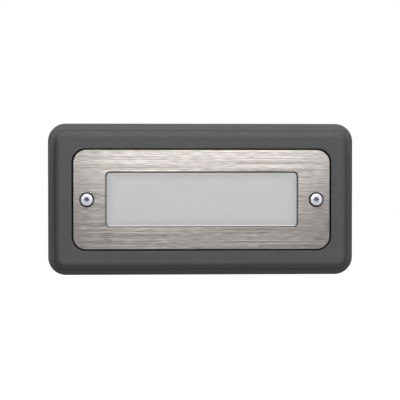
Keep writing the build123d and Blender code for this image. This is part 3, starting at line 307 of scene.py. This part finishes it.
def frosted_lens():
    """Pale grey frosted polycarbonate, unlit, with painted shade near its edges and a painted highlight along
    its lower border.
    """
    # the lens's own colour, then painted shade near its edges and a painted highlight along its lower border
    middle, edge, rim_highlight = (0.505, 0.505, 0.505), (0.425, 0.425, 0.425), (0.78, 0.78, 0.78)
    edge_start, edge_end, rim_height = 0.002, 0.014, 0.0009
    lens = Finish("lens_frosted", middle, roughness=0.5, specular=0.25)

    x, _, z = lens.parted(lens.coords)
    from_side = lens.math("SUBTRACT", lens_high.x, lens.unsigned(x))
    from_top = lens.math("SUBTRACT", lens_high.z, lens.unsigned(z))
    inward = lens.add("ShaderNodeMapRange", interpolation_type="SMOOTHERSTEP")
    inward.inputs["From Min"].default_value = edge_start
    inward.inputs["From Max"].default_value = edge_end
    lens.link(lens.math("MINIMUM", from_side, from_top), inward, "Value")
    tone = lens.mixed(inward.outputs["Result"], edge, lens.mottled(middle, repeats=30, share=0.01))
    lens.base(lens.mixed(lens.math("LESS_THAN", z, lens_face_low + rim_height), tone, rim_highlight))

    grain = lens.noise((900, 900, 900))
    lens.grained(grain, 0.45, 0.55, relief=0.05, depth=0.00005)
    return lens.material


def bright_plating():
    """Bluish bright plating of the screws, with faint marks."""
    plating = Finish("screw_steel", (0.66, 0.67, 0.74), roughness=0.44, metallic=0.35, specular=0.6)
    marks = plating.noise((2500, 2500, 2500))
    darker, lighter = (0.60, 0.61, 0.68), (0.70, 0.71, 0.78)
    plating.base(plating.colors(marks, [(noise_low, darker), (noise_high, lighter)]))
    plating.grained(marks, 0.38, 0.50, relief=0.08, depth=0.00005)
    return plating.material


def plain(
    name, color, roughness, metallic=0.0, specular=0.5, grain=600, relief=0.15, depth=0.0001, mottle=0.06
):
    """A finish with faint mottling in its colour, and a grain in its gloss and relief."""
    spread = 0.08
    finish = Finish(name, color, roughness, metallic, specular)
    finish.base(finish.mottled(color, repeats=grain / 8, share=mottle))
    fine = finish.noise((grain, grain, grain), detail=3.0)
    finish.grained(fine, max(0.05, roughness - spread), min(1.0, roughness + spread), relief, depth)
    return finish.material


plain_looks = {
    "seal_rubber": dict(color=(0.02, 0.02, 0.02), roughness=0.7, grain=1500),
    "gasket_foam": dict(color=(0.045, 0.045, 0.048), roughness=0.9, grain=1800, relief=0.5, depth=0.0003),
    "gasket_silicone": dict(color=(0.30, 0.30, 0.31), roughness=0.6, grain=900),
    "housing_cast": dict(
        color=(0.37, 0.375, 0.38), roughness=0.62, metallic=0.55, grain=1100, relief=0.35, mottle=0.035
    ),
    "sheet_aluminium": dict(color=(0.66, 0.67, 0.68), roughness=0.36, metallic=0.95, grain=500, relief=0.1),
    "zinc_steel": dict(color=(0.60, 0.61, 0.60), roughness=0.32, metallic=1.0, grain=1200, relief=0.1),
    "brass": dict(color=(0.68, 0.50, 0.22), roughness=0.3, metallic=1.0, grain=1200, relief=0.1),
    "board_white": dict(color=(0.70, 0.70, 0.69), roughness=0.4, grain=700, relief=0.05),
    "led_yellow": dict(color=(0.88, 0.66, 0.14), roughness=0.3, grain=2500, relief=0.05),
    "reflector_white": dict(color=(0.70, 0.70, 0.69), roughness=0.35, grain=400, relief=0.02, mottle=0.02),
    "pad_grey": dict(color=(0.30, 0.33, 0.40), roughness=0.8, grain=900),
    "nylon_white": dict(color=(0.74, 0.74, 0.71), roughness=0.45, grain=700),
    "nylon_black": dict(color=(0.025, 0.025, 0.027), roughness=0.5, grain=1000, relief=0.2),
    "driver_plastic": dict(color=(0.68, 0.69, 0.70), roughness=0.5, grain=900, relief=0.2),
    "board_green": dict(color=(0.02, 0.17, 0.07), roughness=0.35, grain=900),
    "ferrite": dict(color=(0.05, 0.046, 0.04), roughness=0.7, grain=1600),
    "capacitor_sleeve": dict(color=(0.02, 0.035, 0.12), roughness=0.3, grain=900, relief=0.05),
}
wire_colors = {
    "wire_brown": (0.16, 0.06, 0.02),
    "wire_blue": (0.02, 0.10, 0.42),
    "wire_earth": (0.18, 0.42, 0.05),
    "wire_red": (0.48, 0.02, 0.015),
    "wire_black": (0.015, 0.015, 0.015),
}
finishes = {
    "frame_coating": powder_coat(),
    "faceplate_steel": brushed_steel(),
    "lens_frosted": frosted_lens(),
    "screw_steel": bright_plating(),
}
for slot, look in plain_looks.items():
    finishes[slot] = plain(slot, **look)
for slot, color in wire_colors.items():
    finishes[slot] = plain(slot, color, roughness=0.38, grain=900, relief=0.05)
for entry in frame["record"]["subparts"]:
    dress(entry["node"], finishes[entry["material_slot"]])

# painted shade on two places of the faceplate screws: inside the socket and on the head's skirt
socket_shade = plain("socket_shade", (0.26, 0.26, 0.28), roughness=0.5, metallic=0.3, grain=2000)
skirt_shade = plain("skirt_shade", (0.02, 0.02, 0.022), roughness=0.7, specular=0.2, grain=2000)

# ---------------------------------------------------------------- modelling helpers


def middle_line(low, high):
    """The X and Z of the line along Y through the middle of a box."""
    return (low.x + high.x) / 2, (low.z + high.z) / 2


def alone(piece):
    """Selects one piece and makes it active."""
    bpy.ops.object.select_all(action="DESELECT")
    piece.select_set(True)
    bpy.context.view_layer.objects.active = piece


def turned(name, axis, sections, segments=48):
    """A closed turned shape about a line along Y; each section is a radius and its place along Y."""
    x, z = axis
    (radius, y), *rest = sections
    bpy.ops.object.select_all(action="DESELECT")
    bpy.ops.mesh.primitive_circle_add(
        vertices=segments, radius=radius, fill_type="NGON", location=(x, y, z), rotation=(math.pi / 2, 0, 0)
    )
    piece = bpy.context.object
    piece.name = name
    bpy.ops.object.transform_apply(location=True, rotation=True, scale=True)
    bpy.ops.object.mode_set(mode="EDIT")
    bpy.ops.mesh.select_mode(type="FACE")
    bpy.ops.mesh.select_all(action="SELECT")
    for next_radius, next_y in rest:
        bpy.ops.mesh.extrude_region_move(TRANSFORM_OT_translate={"value": (0, next_y - y, 0)})
        share = next_radius / radius
        bpy.ops.transform.resize(value=(share, 1, share), center_override=(x, next_y, z))
        radius, y = next_radius, next_y
    bpy.ops.mesh.select_all(action="SELECT")
    bpy.ops.mesh.normals_make_consistent(inside=False)
    bpy.ops.object.mode_set(mode="OBJECT")
    return piece


def threaded_rod(name, axis, crest, root, pitch, start, end):
    """A rod about a line along Y with a thread on it, cut flat at both ends."""
    tooth = [(root, 0), (root, pitch / 8), (crest, pitch * 7 / 16), (crest, pitch * 11 / 16), (root, pitch)]
    bpy.ops.object.select_all(action="DESELECT")
    bpy.ops.mesh.primitive_circle_add(vertices=len(tooth), radius=crest, fill_type="NOTHING")
    rod = bpy.context.object
    rod.name = name
    bpy.ops.object.mode_set(mode="EDIT")
    bpy.ops.mesh.select_mode(type="EDGE")
    bpy.ops.mesh.select_all(action="DESELECT")
    bpy.ops.object.mode_set(mode="OBJECT")
    for edge in rod.data.edges:
        edge.select = set(edge.vertices) == {0, len(tooth) - 1}
    bpy.ops.object.mode_set(mode="EDIT")
    bpy.ops.mesh.delete(type="EDGE")
    bpy.ops.object.mode_set(mode="OBJECT")
    for vertex, (radius, along) in zip(rod.data.vertices, tooth):
        vertex.co = (radius, start - pitch + along, 0)
    screw = rod.modifiers.new("turns", "SCREW")
    screw.axis = "Y"
    screw.screw_offset = pitch
    screw.iterations = math.ceil((end - start) / pitch) + 2
    screw.steps = screw.render_steps = 36
    screw.use_merge_vertices = True
    screw.merge_threshold = pitch / 100
    bpy.ops.object.modifier_apply(modifier="turns")
    bpy.ops.object.mode_set(mode="EDIT")
    for place, outward in ((start, -1), (end, 1)):
        bpy.ops.mesh.select_all(action="SELECT")
        bpy.ops.mesh.bisect(plane_co=(0, place, 0), plane_no=(0, outward, 0), use_fill=True, clear_outer=True)
    bpy.ops.mesh.select_all(action="SELECT")
    bpy.ops.mesh.normals_make_consistent(inside=False)
    bpy.ops.object.mode_set(mode="OBJECT")
    rod.location = (axis[0], 0, axis[1])
    bpy.ops.object.transform_apply(location=True, rotation=True, scale=True)
    return rod


def combine(piece, other, how):
    """Joins, cuts or keeps the common part of a piece and another, which is used up."""
    alone(piece)
    modifier = piece.modifiers.new("combine", "BOOLEAN")
    modifier.operation = how
    modifier.solver = "EXACT"
    modifier.object = other
    bpy.ops.object.modifier_apply(modifier="combine")
    bpy.data.objects.remove(other, do_unlink=True)


def merged_copy(name, node):
    """A copy of a node's mesh with its loose triangles merged into closed shells."""
    source = nodes[node]
    copy = source.copy()
    copy.data = source.data.copy()
    copy.name = name
    bpy.context.scene.collection.objects.link(copy)
    alone(copy)
    bpy.ops.object.mode_set(mode="EDIT")
    bpy.ops.mesh.select_all(action="SELECT")
    bpy.ops.mesh.remove_doubles(threshold=0.000002)
    bpy.ops.mesh.normals_make_consistent(inside=False)
    bpy.ops.object.mode_set(mode="OBJECT")
    return copy


def settle(piece, body, slot, node, angle, shades=()):
    """Shades and dresses a finished piece, and lets it ride in its node's place."""
    alone(piece)
    bpy.ops.object.shade_smooth_by_angle(angle=math.radians(angle))
    piece.data.materials.clear()
    for material in (finishes[slot], *shades):
        piece.data.materials.append(material)
    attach(piece, body)
    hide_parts(node)


# ---------------------------------------------------------------- pieces modelled one by one


def make_faceplate_screw(side):
    """A captive screw: pan head with a six-lobed socket, slim neck and a short thread."""
    name, node = side + "_screw", "faceplate_screw_" + side
    low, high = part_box(node)
    axis = middle_line(low, high)
    head = (high.x - low.x) / 2
    face, end = low.y, high.y
    seat = face + 0.00275
    thread = end - 0.005
    neck_radius, crest, root, pitch = 0.0020, 0.0025, 0.0021, 0.0008
    overlap = 0.0005

    head_outline = [
        (head - 0.00020, seat),
        (head, seat - 0.00020),
        (head, face + 0.00125),
        (head - 0.00012, face + 0.00085),
        (head - 0.00042, face + 0.00050),
        (head - 0.00090, face + 0.00022),
        (head - 0.00150, face + 0.00007),
        (head - 0.00220, face),
    ]
    screw = turned(name, axis, head_outline, segments=64)
    neck = turned("neck", axis, [(neck_radius, seat - overlap), (neck_radius, thread + overlap)])
    combine(screw, neck, "UNION")

    # the thread's ends are turned down, from a little outside its crest and its ends
    past_crest, past_end, start_chamfer, end_chamfer = 0.0026, 0.0001, 0.0004, 0.0005
    envelope_outline = [
        (root, thread - past_end),
        (past_crest, thread + start_chamfer),
        (past_crest, end - end_chamfer),
        (neck_radius, end + past_end),
    ]
    rod = threaded_rod("rod", axis, crest, root, pitch, thread, end)
    combine(rod, turned("envelope", axis, envelope_outline), "INTERSECT")
    combine(screw, rod, "UNION")

    # the socket is a turned hole with a conical bottom, swelled into six lobes
    socket_radius, socket_depth, lobe_share = 0.00185, 0.0017, 0.24
    point_radius, point_depth = 0.0004, 0.0023
    socket_outline = [
        (socket_radius, face - overlap),
        (socket_radius, face + socket_depth),
        (point_radius, face + point_depth),
    ]
    socket = turned("socket", axis, socket_outline, segments=96)
    for vertex in socket.data.vertices:
        across = Vector((vertex.co.x - axis[0], vertex.co.z - axis[1]))
        if across.length > (socket_radius + point_radius) / 2:
            swell = 1 + lobe_share * math.cos(6 * math.atan2(across.y, across.x))
            vertex.co.x = axis[0] + across.x * swell
            vertex.co.z = axis[1] + across.y * swell
    combine(screw, socket, "DIFFERENCE")

    settle(screw, name, "screw_steel", node, angle=28, shades=(socket_shade, skirt_shade))
    # the socket's facets and the head's outer skirt take the painted shade
    socket_shade_index, skirt_shade_index = 1, 2
    socket_reach, skirt_start = 0.00235, head - 0.0003
    socket_top, socket_bottom = face + 0.00003, face + 0.0025
    for facet in screw.data.polygons:
        across = math.hypot(facet.center.x - axis[0], facet.center.z - axis[1])
        if across < socket_reach and socket_top < facet.center.y < socket_bottom:
            facet.material_index = socket_shade_index
        elif across > skirt_start:
            facet.material_index = skirt_shade_index


def make_gland_nut():
    """The gland's hexagon nut with turned corners, chamfered at the wall's side and domed at the cable's."""
    low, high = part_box("gland_nut")
    start, end = low.y, high.y
    corner = 0.0139
    outline = [
        (corner - 0.0011, start),
        (corner, start + 0.0009),
        (corner, end - 0.0058),
        (corner - 0.0005, end - 0.0044),
        (corner - 0.0014, end - 0.0030),
        (corner - 0.0027, end - 0.0016),
        (corner - 0.0044, end - 0.0005),
        (corner - 0.0060, end),
    ]
    nut = merged_copy("cable_nut", "gland_nut")
    combine(nut, turned("envelope", middle_line(low, high), outline, segments=96), "INTERSECT")
    settle(nut, "gland_cap", "nylon_black", "gland_nut", angle=30)


for side in ("left", "right"):
    make_faceplate_screw(side)
make_gland_nut()

# ---------------------------------------------------------------- studio

floor_level = frame_low.z - 0.30
floor_size, floor_shift = 12.0, 3.0
floor_color = (0.50, 0.50, 0.50)
floor_glow = 0.93
room_light = 0.15
white = (1.0, 1.0, 1.0, 1.0)


def seen_directly(tree):
    """1 for a ray from the camera, a gloss or a glass, 0 for the light that falls on things."""
    path = tree.nodes.new("ShaderNodeLightPath")
    seen = path.outputs["Is Camera Ray"]
    for kind in ("Is Glossy Ray", "Is Transmission Ray"):
        either = tree.nodes.new("ShaderNodeMath")
        either.operation = "MAXIMUM"
        tree.links.new(seen, either.inputs[0])
        tree.links.new(path.outputs[kind], either.inputs[1])
        seen = either.outputs["Value"]
    return seen


def make_floor():
    """A wide plain floor well below the light; it shows as white and keeps the shadow."""
    bpy.ops.mesh.primitive_plane_add(size=1.0)
    floor = bpy.context.object
    floor.name = "studio_floor"
    for vertex in floor.data.vertices:
        vertex.co = (vertex.co.x * floor_size, vertex.co.y * floor_size + floor_shift, floor_level)
    finish = Finish("studio_floor", floor_color, roughness=0.9, specular=0.1)
    finish.shader.inputs["Emission Color"].default_value = white
    glow = finish.math("MULTIPLY", seen_directly(finish.tree), floor_glow)
    finish.link(glow, finish.shader, "Emission Strength")
    floor.data.materials.append(finish.material)


def make_world():
    """Even light all round; the camera, gloss and glass see it as white."""
    world = bpy.data.worlds.new("studio")
    bpy.context.scene.world = world
    world.use_nodes = True
    tree = world.node_tree
    background = tree.nodes["Background"]
    background.inputs["Color"].default_value = white
    spread = tree.nodes.new("ShaderNodeMapRange")
    spread.inputs["To Min"].default_value = room_light
    spread.inputs["To Max"].default_value = 1.0
    tree.links.new(seen_directly(tree), spread.inputs["Value"])
    tree.links.new(spread.outputs["Result"], background.inputs["Strength"])


def add_softbox(name, place, size, power, on_matt=True, in_gloss=True):
    """A rectangular soft light turned to the origin, for matt surfaces, for gloss or for both."""
    light = bpy.data.lights.new(name, "AREA")
    light.shape = "RECTANGLE"
    light.size, light.size_y = size
    light.energy = power
    lamp = bpy.data.objects.new(name, light)
    bpy.context.scene.collection.objects.link(lamp)
    lamp.location = place
    lamp.rotation_euler = (-Vector(place)).to_track_quat("-Z", "Y").to_euler()
    lamp.visible_camera = False
    lamp.visible_diffuse = on_matt
    lamp.visible_glossy = in_gloss


def add_dark_card(width, foot, top):
    """A leaning black card, from foot to top in Y and Z. Gloss alone sees it, for the steel's depth."""
    bpy.ops.mesh.primitive_plane_add(size=1.0)
    card = bpy.context.object
    card.name = "dark_card"
    for vertex in card.data.vertices:
        up = vertex.co.y + 0.5
        y, z = (low + up * (high - low) for low, high in zip(foot, top))
        vertex.co = (vertex.co.x * width, y, z)
    card.data.materials.append(Finish("dark_card", (0.02, 0.02, 0.02), roughness=0.9, specular=0.0).material)
    card.visible_camera = False
    card.visible_diffuse = False
    card.visible_transmission = False
    card.visible_shadow = False


def make_camera():
    """The photograph's view: almost head-on, a little from the left and from above."""
    distance = 1.14
    yaw, lift = math.radians(3.0), math.radians(1.2)
    picture_width, shift_right, shift_up = 400, -1.95, -0.35  # in pixels of the photograph
    aim = Vector((0.0, plate_low.y, 0.0))
    back = Vector((-math.sin(yaw) * math.cos(lift), -math.cos(yaw) * math.cos(lift), math.sin(lift)))
    camera = bpy.data.cameras.new("camera")
    camera.sensor_width = 36.0
    camera.lens = 137.7
    camera.shift_x = shift_right / picture_width
    camera.shift_y = shift_up / picture_width
    holder = bpy.data.objects.new("camera", camera)
    bpy.context.scene.collection.objects.link(holder)
    holder.location = aim + distance * back
    holder.rotation_euler = (-back).to_track_quat("-Z", "Y").to_euler()
    bpy.context.scene.camera = holder


make_floor()
make_world()
add_softbox("softbox_above", place=(0.0, -0.7, 1.3), size=(0.6, 0.9), power=30.0)
add_softbox("softbox_front", place=(0.0, -1.6, 0.30), size=(0.5, 0.6), power=4.5, in_gloss=False)
add_softbox("strip_front", place=(0.02, -0.30, 0.13), size=(0.25, 0.03), power=0.50, on_matt=False)
add_softbox("softbox_back", place=(0.0, 1.6, 0.9), size=(1.2, 0.8), power=9.0, in_gloss=False)
add_dark_card(width=0.8, foot=(-0.40, floor_level), top=(-1.7, 1.0))
make_camera()
bpy.context.scene.view_settings.view_transform = "Standard"
